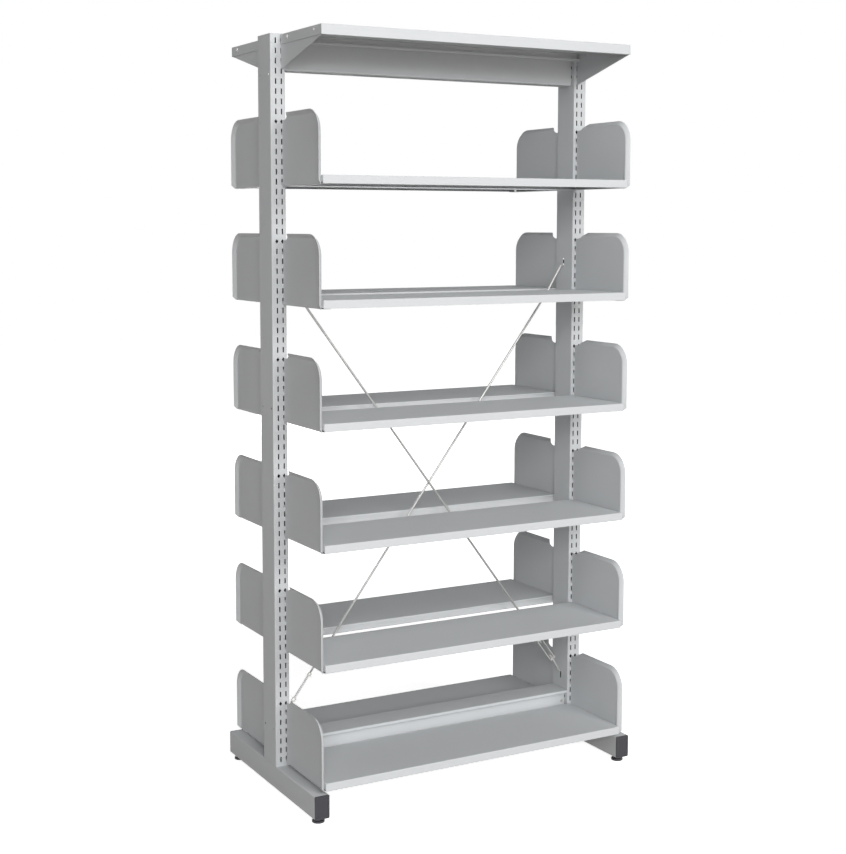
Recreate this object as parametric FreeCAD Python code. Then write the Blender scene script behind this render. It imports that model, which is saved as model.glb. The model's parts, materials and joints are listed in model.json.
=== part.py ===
import FreeCAD, Part
import math
import os

from FreeCAD import Vector

# Double sided library shelving: two slotted uprights on base tubes, six levels of shelf trays on hooked
# end brackets at the front and at the rear, a canopy, two cross beams and a tensioned X brace.
# Millimetres. Origin at the middle of the footprint on the floor. +X runs along the shelves,
# -Y points to the front, +Z up. The whole unit looks the same after half a turn about Z.

# shelf trays
tray_length = 898.0
tray_depth = 236.0
tray_height = 20.5
tray_sheet = 1.0
tray_corner = 2.0  # outer bend radius
tray_return = 12.0  # width of the flange under each long lip
tray_relief = 4.0  # the flanges and end walls stop this far short of the corners
tray_back_gap = 2.0  # upright face to tray
tray_side_gap = 0.25  # tray end to bracket plate

# heights of the slots and levels
slot_pitch = 25.0
level_count = 6
slots_per_level = 12
slots_under_lowest_marker = 6
slots_over_highest_marker = 8
slot_end_margin = 17.5  # end slot centre to the end of the upright
slot_clearance = 1.0  # each side of a bracket's sheet in its slot
slot_height = 14.0
marker_width = 8.5
marker_height = 12.0
column_spacing = 15.5

# uprights
upright_width = 40.0
upright_depth = 80.0
upright_wall = 1.5
upright_corner = 2.5
hook_inset = 10.0  # inner side face to the inner slot column
side_hole_radius = 3.0
side_hole_spread = 55.0
side_hole_start = 98.0  # above the upright's foot
side_hole_rise = 843.5

# base tubes, end caps and levelling feet
base_height = 60.0
base_length = 550.0
base_wall = 2.0
base_corner = 3.0
cap_flange = 4.0
cap_chamfer = 1.0
cap_plug_gap = 1.5  # plug's end to the weld nut
cap_plug_wall = 2.5
cap_clearance = 0.3
ground_gap = 14.0  # floor to the underside of the base tube
foot_inset = 21.0  # tube end to the stud's axis
pad_radius = 16.0
pad_thickness = 6.0
pad_edge = 1.5
boss_radius = 9.0
boss_clearance = 0.5
stud_radius = 4.0
stud_length = 46.0
stud_tip = 0.8  # chamfer at the stud's upper end
stud_engagement = 4.0  # depth of the stud's end in the pad
stud_hole_clearance = 0.75
thread_clearance = 0.08
nut_flats = 13.0
nut_height = 6.5

# shelf end brackets
bracket_sheet = 1.5
bracket_back_gap = 4.5  # upright face to the bracket's back edge
bracket_foot_drop = 11.0  # lowest hook's slot centre down to the bracket's underside
bracket_rise = 20.0  # marker hole up to the flared top edge
bracket_reach_back = 2.0  # bracket's front edge behind the tray's lip
bracket_corner = 54.0  # radius of the flared edge at the top front corner
bracket_flange = 24.0  # width of the bottom flange
bracket_flange_end_gap = 8.0  # each end of the flange to the tray's lip
flare_width = 9.25
flare_bend = 3.0
flare_flat = 8.0  # flat sheet that belongs to the flared rim
flare_slant = 18.5  # the flare's back end is cut off slanting, over this length
notch_start = 11.5  # level top length at the bracket's back edge
notch_length = 14.0
notch_height = 5.4
bend_radius = 1.5

# hooks on brackets, gussets and beams
hook_leg = 2.0
hook_gap = 0.3  # wall's inner face to the leg
hook_root = 1.0  # a neck starts this far inside its plate
hook_play = 1.0  # a neck or a leg is this much lower than half a slot
bracket_hook_rows = (1, 3, 6)  # slots below the marker
gusset_hook_rows = (0, 2)  # slots below the top end slot

# canopy and its gussets
canopy_drop = 2.0  # upright top down to the canopy's top
canopy_overhang = 2.0  # canopy's lip in front of the tray's lip
canopy_lip = 25.0
canopy_sheet = 1.0
canopy_corner = 2.0
canopy_return = 12.0
canopy_side_gap = 1.0
canopy_relief = 0.3  # cut past the rear corners' bends
canopy_rear_lip = 21.5
canopy_rear_return = 11.0
canopy_rear_hem = 6.5
gusset_depth = 86.0  # canopy top down to the gusset's tip
gusset_front_gap = 1.5
gusset_back_gap = 0.2
gusset_flange = 12.0
canopy_screw_rows = (45.0, 199.0)  # from the upright's face
canopy_screw_drop = 10.0

# cross beams
beam_height = 87.0
beam_sheet = 1.5
beam_lip = 9.0
beam_web_offset = 25.0  # middle of the beam to the web's outer face
beam_side_inset = 0.5  # upright face to the beam's lip
beam_return = 16.0
beam_end_gap = 0.5
beam_slot_clearance = 2.25  # each side of the web in its slot
bottom_beam_rise = 67.0  # base tube up to the beam's top
lock_screw_inset = 10.0
lock_screw_drop = 32.5

# screws
screw_head_radius = 4.2
screw_head_height = 2.2
screw_head_round = 1.3
screw_shank_radius = 2.2
screw_hole_clearance = 0.3
screw_length = 7.0
screw_root = 0.5  # the shank starts this far inside the head

# X brace
rod_radius = 3.0
rod_bend = 4.5
rod_gap = 0.5  # each rod lies this far from the middle plane
brace_slot_clearance = 0.5  # each side of a rod in its slot
brace_slot_height = 25.0
brace_slot_start = 107.5  # base tube up to the lower slot
brace_slot_rise = 1195.5
brace_aim = 10.0  # the rods' line meets the wall this far from the slots' centres
brace_seat = 0.1
upper_kink = 60.0  # the rods leave their straight line this far from the walls
lower_kink = 27.0
upper_corner = 9.5  # the rods turn level this far from the walls
lower_corner = 4.5
hook_tail = 13.0
buckle_start = 50.9  # wall to the lower block, along the brace
buckle_length = 86.0
buckle_block = 8.0
buckle_spread = 15.4  # between the two bars
buckle_bar_radius = 2.3
buckle_wall = 2.0  # over and under the bore
buckle_bore_clearance = 0.1
buckle_corner = 3.0  # round along the blocks' long edges
rod_overlap = 14.0  # rod end past the middle of its block
front_buckle_roll = 0.0
rear_buckle_roll = 65.0

# sizes and places that follow
slot_width = bracket_sheet + 2 * slot_clearance
hook_neck = slot_height / 2 - hook_play
beam_slot_width = beam_sheet + 2 * beam_slot_clearance
screw_hole_radius = screw_shank_radius + screw_hole_clearance
brace_offset = rod_radius + rod_gap
brace_slot_width = 2 * (rod_radius + brace_slot_clearance)
plate_inner = tray_length / 2 + tray_side_gap
hook_x = plate_inner + bracket_sheet / 2
upright_inner = hook_x - hook_inset
upright_outer = upright_inner + upright_width
upright_face = upright_depth / 2
column_xs = (hook_x, hook_x + column_spacing)
bracket_drop = bracket_hook_rows[-1] * slot_pitch + bracket_foot_drop  # marker hole down to the underside
tray_drop = bracket_drop - bracket_sheet - tray_height  # marker hole down to the deck
base_top = ground_gap + base_height
slot_count = slots_under_lowest_marker + (level_count - 1) * slots_per_level + slots_over_highest_marker + 1
upright_length = 2 * slot_end_margin + (slot_count - 1) * slot_pitch
upright_top = base_top + upright_length
first_slot_z = base_top + slot_end_margin
last_slot_z = upright_top - slot_end_margin
tray_back = upright_face + tray_back_gap
tray_front = tray_back + tray_depth
bracket_back = upright_face + bracket_back_gap
bracket_front = tray_front - bracket_reach_back
canopy_front = tray_front + canopy_overhang
canopy_top = upright_top - canopy_drop
canopy_half = plate_inner + bracket_sheet + canopy_side_gap + canopy_sheet
gusset_top = canopy_top - canopy_sheet
gusset_front = canopy_front - canopy_sheet - gusset_front_gap
gusset_back = upright_face + gusset_back_gap
beam_half = upright_inner - beam_end_gap
web_middle = beam_web_offset - beam_sheet / 2
bottom_beam_top = base_top + bottom_beam_rise
foot_y = base_length / 2 - foot_inset
cap_plug = foot_inset - nut_flats / 2 - cap_plug_gap
foot_x = (upright_inner + upright_outer) / 2
side_hole_zs = [base_top + side_hole_start + i * side_hole_rise for i in range(3)]
low_brace_z = base_top + brace_slot_start
high_brace_z = low_brace_z + brace_slot_rise
centre = Vector(0, 0, 0)
up = Vector(0, 0, 1)


def row_z(row):
    return first_slot_z + row * slot_pitch


def level_z(level):
    # level 1 is the highest, as a reader counts shelves
    return row_z(slots_under_lowest_marker + (level_count - level) * slots_per_level)


def block(x0, x1, y0, y1, z0, z1):
    return Part.makeBox(x1 - x0, y1 - y0, z1 - z0, Vector(x0, y0, z0))


def rod(radius, length, start, direction):
    return Part.makeCylinder(radius, length, start, direction)


def prism(points, direction):
    return Part.Face(Part.makePolygon(points + points[:1])).extrude(direction)


def fused(shapes):
    whole = shapes[0].multiFuse(shapes[1:])
    return whole.removeSplitter()


def turned(shape):
    # the same piece on the other side: half a turn about the vertical middle line
    return shape.rotated(centre, up, 180)


def mirrored(shape):
    return shape.mirror(centre, Vector(1, 0, 0))


def rounded_block(x0, x1, y0, y1, z0, z1, radius):
    # a box with round upright and top edges
    body = block(x0, x1, y0, y1, z0, z1)
    edges = [e for e in body.Edges if e.BoundBox.ZMax > z0 + radius]
    return body.makeFillet(radius, edges)


def pan(half, y0, y1, top, height, sheet, corner):
    # a tray pressed from sheet, open underneath
    outer = rounded_block(-half, half, y0, y1, top - height, top, corner)
    inner = rounded_block(
        sheet - half, half - sheet, y0 + sheet, y1 - sheet, top - height - corner, top - sheet, corner - sheet
    )
    return outer.cut(inner)


def strip_side(points, offset, radius):
    # one face of a folded strip: lines and bends beside its middle line, as (start, middle, end)
    pieces = []
    start = None
    last = len(points) - 1
    for i in range(last):
        ax, ay = points[i]
        bx, by = points[i + 1]
        length = math.hypot(bx - ax, by - ay)
        dx, dy = (bx - ax) / length, (by - ay) / length
        if start is None:
            start = (ax - dy * offset, ay + dx * offset)
        if i + 1 == last:
            pieces.append((start, None, (bx - dy * offset, by + dx * offset)))
            break
        cx, cy = points[i + 2]
        reach = math.hypot(cx - bx, cy - by)
        ex, ey = (cx - bx) / reach, (cy - by) / reach
        turn = math.atan2(dx * ey - dy * ex, dx * ex + dy * ey)
        side = math.copysign(1.0, turn)
        back = radius * math.tan(abs(turn) / 2)
        mx = bx - dx * back - dy * radius * side
        my = by - dy * back + dx * radius * side
        own = radius - side * offset
        nx, ny = dy * side, -dx * side
        kx, ky = ey * side, -ex * side
        hx, hy = nx + kx, ny + ky
        size = math.hypot(hx, hy)
        bend_start = (mx + nx * own, my + ny * own)
        bend_end = (mx + kx * own, my + ky * own)
        bend_middle = (mx + hx / size * own, my + hy / size * own)
        pieces.append((start, None, bend_start))
        pieces.append((bend_start, bend_middle, bend_end))
        start = bend_end
    return pieces


def folded_face(points, sheet, inner_radius, place):
    # the section of a folded sheet; place turns its two coordinates into a point
    radius = inner_radius + sheet / 2
    left = strip_side(points, sheet / 2, radius)
    right = [(c, b, a) for a, b, c in reversed(strip_side(points, -sheet / 2, radius))]
    pieces = left + [(left[-1][2], None, right[0][0])] + right + [(right[-1][2], None, left[0][0])]
    edges = []
    for a, b, c in pieces:
        if b is None:
            edges.append(Part.makeLine(place(*a), place(*c)))
        else:
            edges.append(Part.Arc(place(*a), place(*b), place(*c)).toShape())
    return Part.Face(Part.Wire(edges))


def rod_along(points, radius, bend, place):
    # round bar bent along straight runs with arcs between them
    edges = []
    for a, b, c in strip_side(points, 0.0, bend):
        if b is None:
            edges.append(Part.makeLine(place(*a), place(*c)))
        else:
            edges.append(Part.Arc(place(*a), place(*b), place(*c)).toShape())
    path = Part.Wire(edges)
    start = edges[0].valueAt(edges[0].FirstParameter)
    heading = edges[0].tangentAt(edges[0].FirstParameter)
    ring = Part.Wire(Part.makeCircle(radius, start, heading))
    return path.makePipeShell([ring], True, True)


def make_upright():
    # right upright; the left one is the same piece turned
    outer = block(upright_inner, upright_outer, -upright_face, upright_face, base_top, upright_top)
    posts = [e for e in outer.Edges if e.BoundBox.ZLength > upright_length / 2]
    outer = outer.makeFillet(upright_corner, posts)
    w = upright_wall
    half = upright_face - w
    inner = block(upright_inner + w, upright_outer - w, -half, half, base_top - w, upright_top - w)
    posts = [e for e in inner.Edges if e.BoundBox.ZLength > upright_length / 2]
    inner = inner.makeFillet(upright_corner - w, posts)
    return outer.cut(inner).cut(face_slots() + inner_slots() + side_holes())


def face_slots():
    # shelf slots through the front and rear faces, with a diamond at each marker row
    cuts = []
    depth = upright_face + 1
    marker_zs = [level_z(level) for level in range(1, level_count + 1)]
    for x in column_xs:
        for row in range(slot_count):
            z = row_z(row)
            if z in marker_zs:
                cuts.append(marker_cut(x, z, depth))
            else:
                half_w = slot_width / 2
                half_h = slot_height / 2
                cuts.append(block(x - half_w, x + half_w, -depth, depth, z - half_h, z + half_h))
    return cuts


def marker_cut(x, z, depth):
    half_w = marker_width / 2
    half_h = marker_height / 2
    corners = [
        Vector(x - half_w, -depth, z),
        Vector(x, -depth, z - half_h),
        Vector(x + half_w, -depth, z),
        Vector(x, -depth, z + half_h),
    ]
    return prism(corners, Vector(0, 2 * depth, 0))


def beam_rows(top_beam):
    return (slot_count - 2, slot_count - 3) if top_beam else (0, 1)


def inner_slots():
    # slots in the side that faces the shelves: beam hooks and brace hooks
    x0 = upright_inner - 1
    x1 = upright_inner + upright_wall + 1
    half_h = slot_height / 2
    half_w = beam_slot_width / 2
    cuts = []
    for row in beam_rows(True) + beam_rows(False):
        for y in (-web_middle, web_middle):
            cuts.append(block(x0, x1, y - half_w, y + half_w, row_z(row) - half_h, row_z(row) + half_h))
    half_h = brace_slot_height / 2
    half_w = brace_slot_width / 2
    for y, z in ((brace_offset, high_brace_z), (-brace_offset, low_brace_z)):
        cuts.append(block(x0, x1, y - half_w, y + half_w, z - half_h, z + half_h))
    return cuts


def side_holes():
    # connection holes in the outer side face
    cuts = []
    for z in side_hole_zs:
        for y in (-side_hole_spread / 2, side_hole_spread / 2):
            start = Vector(upright_outer - upright_wall - 1, y, z)
            cuts.append(rod(side_hole_radius, upright_wall + 2, start, Vector(1, 0, 0)))
    return cuts


def make_base_tube():
    half = base_length / 2
    outer = block(upright_inner, upright_outer, -half, half, ground_gap, base_top)
    outer = outer.makeFillet(base_corner, [e for e in outer.Edges if e.BoundBox.YLength > half])
    w = base_wall
    inner = block(upright_inner + w, upright_outer - w, -half - 1, half + 1, ground_gap + w, base_top - w)
    inner = inner.makeFillet(base_corner - w, [e for e in inner.Edges if e.BoundBox.YLength > half])
    radius = stud_radius + stud_hole_clearance
    holes = [rod(radius, base_wall + 2, Vector(foot_x, y, ground_gap - 1), up) for y in (-foot_y, foot_y)]
    return outer.cut(inner).cut(holes)


def make_end_cap():
    # plastic cap of the right front tube end: a flange over the end and a hollow plug inside it
    end = -base_length / 2
    flange = block(upright_inner, upright_outer, end - cap_flange, end, ground_gap, base_top)
    flange = flange.makeFillet(base_corner, [e for e in flange.Edges if e.BoundBox.YLength > cap_flange / 2])
    front = [e for e in flange.Edges if e.BoundBox.YMax < end - cap_flange / 2]
    flange = flange.makeChamfer(cap_chamfer, front)
    tip = end + cap_plug
    g = base_wall + cap_clearance
    plug = block(upright_inner + g, upright_outer - g, end - 1, tip, ground_gap + g, base_top - g)
    corners = [e for e in plug.Edges if e.BoundBox.YLength > cap_plug / 2]
    plug = plug.makeFillet(base_corner - base_wall, corners)
    g = g + cap_plug_wall
    hollow = block(upright_inner + g, upright_outer - g, end, tip + 1, ground_gap + g, base_top - g)
    return fused([flange, plug]).cut(hollow)


def make_foot_pad(x, y):
    # turned section about the stud's axis: disc with a round rim, then a tapered boss
    boss_top = ground_gap - boss_clearance
    socket = pad_thickness
    r = pad_radius
    e = pad_edge
    slope = e * (1 - math.sqrt(0.5))
    lower = Part.Arc(Vector(r - e, 0, 0), Vector(r - slope, 0, slope), Vector(r, 0, e)).toShape()
    shoulder = pad_thickness - e
    upper = Part.Arc(
        Vector(r, 0, shoulder), Vector(r - slope, 0, pad_thickness - slope), Vector(r - e, 0, pad_thickness)
    ).toShape()
    corners = [
        Vector(r - e, 0, pad_thickness),
        Vector(boss_radius + e, 0, pad_thickness),
        Vector(boss_radius, 0, boss_top),
        Vector(stud_radius, 0, boss_top),
        Vector(stud_radius, 0, socket - stud_engagement),
        Vector(0, 0, socket - stud_engagement),
        Vector(0, 0, 0),
        Vector(r - e, 0, 0),
    ]
    lines = [Part.makeLine(a, b) for a, b in zip(corners, corners[1:])]
    rim = [lower, Part.makeLine(Vector(r, 0, e), Vector(r, 0, shoulder)), upper]
    section = Part.Face(Part.Wire(rim + lines))
    pad = section.revolve(centre, up, 360)
    return pad.translated(Vector(x, y, 0))


def make_stud(x, y):
    start = pad_thickness - stud_engagement
    shaft = rod(stud_radius - thread_clearance / 2, stud_length, Vector(x, y, start), up)
    tip = [e for e in shaft.Edges if e.BoundBox.ZMin > start + stud_length / 2 and e.BoundBox.ZLength < 1]
    return shaft.makeChamfer(stud_tip, tip)


def make_nut(x, y):
    radius = nut_flats / math.sqrt(3)
    z = ground_gap + base_wall
    corners = [Vector(x + radius * math.cos(a), y + radius * math.sin(a), z) for a in hexagon_angles()]
    bore = rod(stud_radius + thread_clearance / 2, nut_height + 2, Vector(x, y, z - 1), up)
    return prism(corners, Vector(0, 0, nut_height)).cut(bore)


def hexagon_angles():
    return [math.radians(60 * i) for i in range(6)]


def make_tray():
    # front tray of a level whose marker is at z = 0
    top = -tray_drop
    bottom = top - tray_height
    half = tray_length / 2
    body = pan(half, -tray_front, -tray_back, top, tray_height, tray_sheet, tray_corner)
    inner_half = half - tray_relief
    skin = tray_sheet / 2
    over = bottom + tray_sheet
    front = block(-inner_half, inner_half, skin - tray_front, tray_return - tray_front, bottom, over)
    back = block(-inner_half, inner_half, -tray_return - tray_back, -tray_back - skin, bottom, over)
    body = fused([body, front, back])
    y0 = tray_corner - tray_front
    y1 = -tray_back - tray_corner
    reliefs = []
    for x in (-half - 1, half - tray_sheet - skin):
        reliefs.append(block(x, x + 1 + tray_sheet + skin, y0, y1, bottom - 1, bottom + tray_relief))
    return body.cut(reliefs)


def hook(lowest, wall, gap, place, direction):
    # one hook of a sheet plate that stands a gap off the wall: a neck through the wall's slot, then a
    # leg down behind the wall, each a little lower than half the slot, so that the hook lifts out.
    # place takes (distance past the wall's outer face, height)
    root = gap + hook_root
    leg_start = wall + hook_gap
    leg_end = leg_start + hook_leg
    corners = [
        place(-root, lowest),
        place(leg_start, lowest),
        place(leg_start, lowest - hook_neck),
        place(leg_end, lowest - hook_neck),
        place(leg_end, lowest + hook_neck),
        place(-root, lowest + hook_neck),
    ]
    return prism(corners, direction)


def side_hooks(lowest_points, gap):
    # hooks of a plate that stands beside the shelves, in the front inner slot column
    def place(depth, z):
        return Vector(plate_inner, depth - upright_face, z)

    return [hook(z, upright_wall, gap, place, Vector(bracket_sheet, 0, 0)) for z in lowest_points]


def make_bracket():
    # right front bracket of a level whose marker is at z = 0
    x0 = plate_inner
    bottom = -bracket_drop
    middle = x0 + bracket_sheet / 2
    tip = bracket_corner - bracket_sheet / 2 * math.sqrt(0.5)
    fold = tip - flare_width
    flat = fold - flare_flat
    core_radius = flat + 1
    corner_y = -(bracket_front - bracket_corner)
    corner_z = bracket_rise - bracket_corner
    rim = [(middle, flat), (middle, fold), (middle + flare_width, tip)]

    def beside(x, r):
        return Vector(x, corner_y - r, bottom)

    def corner(x, r):
        return Vector(x, corner_y - r, corner_z)

    def above(x, r):
        return Vector(x, corner_y, corner_z + r)

    front_rim = folded_face(rim, bracket_sheet, flare_bend, beside).extrude(Vector(0, 0, corner_z - bottom))
    corner_rim = folded_face(rim, bracket_sheet, flare_bend, corner).revolve(
        Vector(0, corner_y, corner_z), Vector(1, 0, 0), -90
    )
    core_top = corner_z + core_radius
    flare_back = bracket_back + notch_start + notch_length
    top_rim = folded_face(rim, bracket_sheet, flare_bend, above).extrude(Vector(0, -flare_back - corner_y, 0))
    core = bracket_core(corner_y, corner_z, core_radius, core_top, bottom)
    pieces = [core, front_rim, corner_rim, top_rim, bracket_notch(core_top, flare_back)]
    pieces = pieces + bracket_foot(bottom, -corner_y + core_radius)
    slot_floor = -slot_height / 2
    hook_floors = [slot_floor - row * slot_pitch for row in bracket_hook_rows]
    pieces = pieces + side_hooks(hook_floors, bracket_back_gap)
    ends = [flare_low_cut(corner_y, bottom), flare_back_cut(flare_back, core_top + notch_height)]
    return fused(pieces).cut(ends)


def flare_back_cut(flare_back, level):
    # the flare's back end slants from the notch up to its tip
    rise = bracket_rise - level
    low = Vector(plate_inner - 1, -flare_back, level)
    high = low + Vector(0, -flare_slant, rise) * 2
    above = Vector(low.x, low.y, high.z)
    return prism([low, high, above], Vector(flare_width + bracket_sheet + 2, 0, 0))


def flare_low_cut(corner_y, bottom):
    # the flare's lower end is cut off at 45 degrees
    start = plate_inner + bracket_sheet
    reach = flare_width + bracket_sheet
    low = Vector(start, corner_y, bottom - 1)
    out = Vector(start + reach, corner_y, bottom - 1)
    high = Vector(start + reach, corner_y, bottom + reach)
    return prism([low, out, high], Vector(0, -bracket_front, 0))


def bracket_core(corner_y, corner_z, radius, top, bottom):
    # flat middle of the bracket, down to the bend of its bottom flange
    x0 = plate_inner
    heel = bottom + bracket_sheet + bend_radius
    y0 = -bracket_back
    y1 = y0 - flange_back_gap()
    y2 = corner_y - radius
    diagonal = radius * math.sqrt(0.5)
    outline = [
        Part.makeLine(Vector(x0, y0, bottom), Vector(x0, y1, bottom)),
        Part.makeLine(Vector(x0, y1, bottom), Vector(x0, y1, heel)),
        Part.makeLine(Vector(x0, y1, heel), Vector(x0, y2, heel)),
        Part.makeLine(Vector(x0, y2, heel), Vector(x0, y2, corner_z)),
        Part.Arc(
            Vector(x0, y2, corner_z),
            Vector(x0, corner_y - diagonal, corner_z + diagonal),
            Vector(x0, corner_y, top),
        ).toShape(),
        Part.makeLine(Vector(x0, corner_y, top), Vector(x0, y0, top)),
        Part.makeLine(Vector(x0, y0, top), Vector(x0, y0, bottom)),
    ]
    return Part.Face(Part.Wire(outline)).extrude(Vector(bracket_sheet, 0, 0))


def flange_back_gap():
    # the bottom flange starts clear of the tray's back lip
    return tray_back + bracket_flange_end_gap - bracket_back


def bracket_notch(base, flare_back):
    # hollow curve from the low back edge up to the flared top edge
    x0 = plate_inner
    y_low = -(flare_back - notch_length)
    y_high = -flare_back
    radius = (notch_length ** 2 + notch_height ** 2) / (2 * notch_height)
    half_angle = math.asin(notch_length / radius) / 2
    y_mid = y_low - radius * math.sin(half_angle)
    z_mid = base + radius * (1 - math.cos(half_angle))
    top = base + notch_height
    outline = [
        Part.Arc(Vector(x0, y_low, base), Vector(x0, y_mid, z_mid), Vector(x0, y_high, top)).toShape(),
        Part.makeLine(Vector(x0, y_high, top), Vector(x0, y_high - 1, top)),
        Part.makeLine(Vector(x0, y_high - 1, top), Vector(x0, y_high - 1, base - 1)),
        Part.makeLine(Vector(x0, y_high - 1, base - 1), Vector(x0, y_low, base - 1)),
        Part.makeLine(Vector(x0, y_low, base - 1), Vector(x0, y_low, base)),
    ]
    return Part.Face(Part.Wire(outline)).extrude(Vector(bracket_sheet, 0, 0))


def bracket_foot(bottom, rim_y):
    # bottom flange that carries the tray: a bend under the plate, and a tongue past the rim
    middle = plate_inner + bracket_sheet / 2
    level = bottom + bracket_sheet / 2
    start = bracket_back + flange_back_gap()
    inner = middle - bracket_flange
    angle = [(middle, bottom + 2 * bracket_sheet + 2 * bend_radius), (middle, level), (inner, level)]

    def place(x, z):
        return Vector(x, -start, z)

    bent = folded_face(angle, bracket_sheet, bend_radius, place).extrude(Vector(0, start - rim_y, 0))
    outer = plate_inner - bend_radius
    tongue_end = tray_front - tray_sheet - bracket_flange_end_gap
    tongue = block(inner, outer, -tongue_end, 1 - rim_y, bottom, bottom + bracket_sheet)
    return [bent, tongue]


def make_gusset():
    # right front canopy gusset: triangle with a flange under the canopy's deck
    x0 = plate_inner
    tip = canopy_top - gusset_depth
    lip_z = canopy_top - canopy_lip
    corners = [
        Vector(x0, -gusset_back, tip),
        Vector(x0, -gusset_front, lip_z),
        Vector(x0, -gusset_front, gusset_top - canopy_corner),
        Vector(x0, canopy_corner - gusset_front, gusset_top),
        Vector(x0, -gusset_back, gusset_top),
    ]
    plate = prism(corners, Vector(bracket_sheet, 0, 0))
    y0 = gusset_flange - gusset_front
    y1 = -gusset_back - gusset_flange
    seat = block(x0 - gusset_flange, x0 + bracket_sheet, y0, y1, gusset_top - bracket_sheet, gusset_top)
    slot_floor = last_slot_z - slot_height / 2
    hooks = side_hooks([slot_floor - row * slot_pitch for row in gusset_hook_rows], gusset_back_gap)
    return fused([plate, seat] + hooks).cut(canopy_screw_bores())


def canopy_screw_places():
    # right front corner: height and distance from the middle plane
    z = canopy_top - canopy_screw_drop
    return [(-(upright_face + along), z) for along in canopy_screw_rows]


def canopy_screw_bores():
    length = canopy_half - plate_inner + 2
    start_x = plate_inner - 1
    along = Vector(1, 0, 0)
    return [rod(screw_hole_radius, length, Vector(start_x, y, z), along) for y, z in canopy_screw_places()]


def make_canopy():
    # front canopy
    y0 = -canopy_front
    y1 = -tray_back
    sheet = canopy_sheet
    lip_z = canopy_top - canopy_lip
    body = pan(canopy_half, y0, y1, canopy_top, canopy_lip, sheet, canopy_corner)
    return_half = plate_inner - tray_side_gap
    front_return = block(-return_half, return_half, y0 + sheet / 2, y0 + canopy_return, lip_z, lip_z + sheet)
    hem_z = canopy_top - canopy_rear_lip
    hem_y = y1 - canopy_rear_return
    rear_return = block(-return_half, return_half, hem_y, y1 - sheet / 2, hem_z, hem_z + sheet)
    hem = block(-return_half, return_half, hem_y, hem_y + sheet, hem_z, hem_z + canopy_rear_hem)
    reach = canopy_half + 1
    corner_y = y1 - canopy_corner - canopy_relief
    under_rear_lip = block(-reach, reach, corner_y, y1 + 1, lip_z - 1, hem_z)
    cuts = [under_rear_lip] + canopy_screw_bores() + [mirrored(bore) for bore in canopy_screw_bores()]
    for x in (return_half, -reach):
        cuts.append(block(x, x + reach - return_half, corner_y, y1 + 1, lip_z - 1, gusset_top))
    return fused([body.cut(cuts), front_return, rear_return, hem])


def beam_section(top, place):
    # top plate with short lips, stepped in to two webs, with returns along the bottom
    t = beam_sheet / 2
    lip_y = upright_face - beam_side_inset - t
    step_z = top - beam_lip + t
    foot_z = top - beam_height + t
    half = [
        (web_middle - beam_return, foot_z),
        (web_middle, foot_z),
        (web_middle, step_z),
        (lip_y, step_z),
        (lip_y, top - t),
    ]
    other = [(-y, z) for y, z in reversed(half)]
    return folded_face(half + other, beam_sheet, bend_radius, place)


def beam_hooks(rows):
    # right end of a beam: one hook per web and slot row, into the upright's inner side
    hooks = []
    for y in (-web_middle, web_middle):
        def place(depth, z, y=y):
            return Vector(upright_inner + depth, y - beam_sheet / 2, z)

        for row in rows:
            slot_floor = row_z(row) - slot_height / 2
            hooks.append(hook(slot_floor, upright_wall, beam_end_gap, place, Vector(0, beam_sheet, 0)))
    return hooks


def make_beam(top, rows):
    def place(y, z):
        return Vector(-beam_half, y, z)

    body = beam_section(top, place).extrude(Vector(2 * beam_half, 0, 0))
    hooks = beam_hooks(rows)
    return fused([body] + hooks + [turned(h) for h in hooks])


def make_bottom_beam():
    return make_beam(bottom_beam_top, beam_rows(False)).cut(lock_screw_bores())


def lock_screw_seat():
    # right end of the bottom beam, outer face of the front web
    return Vector(beam_half - lock_screw_inset, -beam_web_offset, bottom_beam_top - lock_screw_drop)


def lock_screw_bores():
    seat = lock_screw_seat()
    start = Vector(seat.x, -seat.y + 1, seat.z)
    right = rod(screw_hole_radius, 2 * (1 - seat.y), start, Vector(0, -1, 0))
    return [right, mirrored(right)]


def make_screw(head_seat, inward):
    # pan head screw: head_seat is the middle of the face under its head
    head = rod(screw_head_radius, screw_head_height, head_seat, inward * -1)
    near_top = screw_head_height - screw_root
    rim = [e for e in head.Edges if (head_seat - e.CenterOfMass).dot(inward) > near_top]
    head = head.makeFillet(screw_head_round, rim)
    shank = rod(screw_shank_radius, screw_length, head_seat - inward * screw_root, inward)
    return fused([head, shank])


def canopy_screws():
    inward = Vector(-1, 0, 0)
    right = [make_screw(Vector(canopy_half, y, z), inward) for y, z in canopy_screw_places()]
    front = right + [mirrored(s) for s in right]
    return front + [turned(s) for s in front]


def lock_screws():
    seat = lock_screw_seat()
    right = make_screw(seat, Vector(0, 1, 0))
    front = [right, mirrored(right)]
    return front + [turned(s) for s in front]


def brace_direction():
    # unit vector up the rear brace, from the left wall's lower slot to the right wall's upper slot
    rise = (high_brace_z - brace_aim) - (low_brace_z + brace_aim)
    heading = Vector(2 * upright_inner, 0, rise)
    return heading.normalize()


def brace_low_point():
    return Vector(-upright_inner, brace_offset, low_brace_z + brace_aim)


def in_brace_plane(x, z):
    return Vector(x, brace_offset, z)


def along_brace(distance):
    point = brace_low_point() + brace_direction() * distance
    return (point.x, point.z)


def brace_span():
    rise = (high_brace_z - brace_aim) - (low_brace_z + brace_aim)
    return math.hypot(2 * upright_inner, rise)


def hook_tail_x():
    # the last bend of a brace's hook starts at the back of the upright's inner wall
    return upright_inner + upright_wall + rod_bend


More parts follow.
